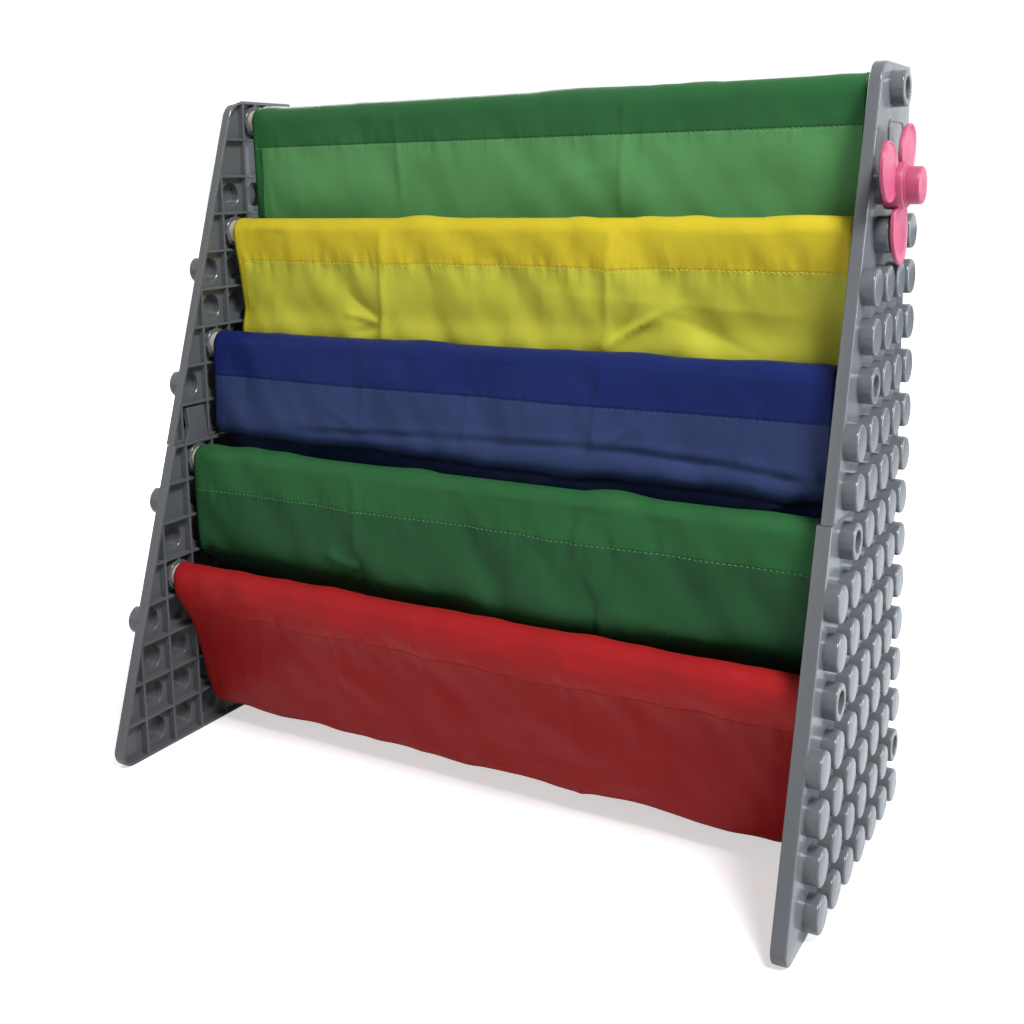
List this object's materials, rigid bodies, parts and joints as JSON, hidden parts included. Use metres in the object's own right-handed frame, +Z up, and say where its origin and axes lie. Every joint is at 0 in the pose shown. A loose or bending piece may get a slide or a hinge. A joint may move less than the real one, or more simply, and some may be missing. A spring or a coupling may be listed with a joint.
{
  "type": "sling bookshelf",
  "caption": "Child's sling bookshelf: studded plastic side panels joined by rods that carry coloured cloth book pockets, with a toy spinner on a stud.",
  "frame": {"origin": "on the floor, in the middle of the footprint", "axes": "+X to the viewer's right along the rods, +Y to the back, +Z up"},
  "size_m": [0.6032, 0.2546, 0.547],
  "materials": {
    "panel_grey": "smooth grey moulded plastic",
    "rod_cream": "pale smooth dowel",
    "screw_steel": "plain steel",
    "spinner_pink": "smooth pink moulded plastic",
    "cloth_green": "woven polyester",
    "cloth_yellow": "woven polyester",
    "cloth_blue": "woven polyester",
    "cloth_red": "woven polyester"
  },
  "bodies": {
    "shelf": {"left_panel_upper": "panel_grey", "left_panel_lower": "panel_grey", "right_panel_upper": "panel_grey", "right_panel_lower": "panel_grey", "front_rod_1": "rod_cream", "screw_left_front_rod_1": "screw_steel", "screw_right_front_rod_1": "screw_steel", "front_rod_2": "rod_cream", "screw_left_front_rod_2": "screw_steel", "screw_right_front_rod_2": "screw_steel", "front_rod_3": "rod_cream", "screw_left_front_rod_3": "screw_steel", "screw_right_front_rod_3": "screw_steel", "front_rod_4": "rod_cream", "screw_left_front_rod_4": "screw_steel", "screw_right_front_rod_4": "screw_steel", "front_rod_5": "rod_cream", "screw_left_front_rod_5": "screw_steel", "screw_right_front_rod_5": "screw_steel", "rear_rod": "rod_cream", "screw_left_rear_rod": "screw_steel", "screw_right_rear_rod": "screw_steel", "cloth_back_green": "cloth_green", "cloth_pocket_yellow": "cloth_yellow", "cloth_pocket_blue": "cloth_blue", "cloth_pocket_green": "cloth_green", "cloth_sling_red": "cloth_red"},
    "spinner_body": {"spinner": "spinner_pink"}
  },
  "joints": [
    {"name": "spinner_turn", "type": "hinge", "parent": "shelf", "child": "spinner_body", "pos_m": [0.283, 0.0457, 0.4655], "axis": [1, 0, 0], "continuous": true}
  ]
}
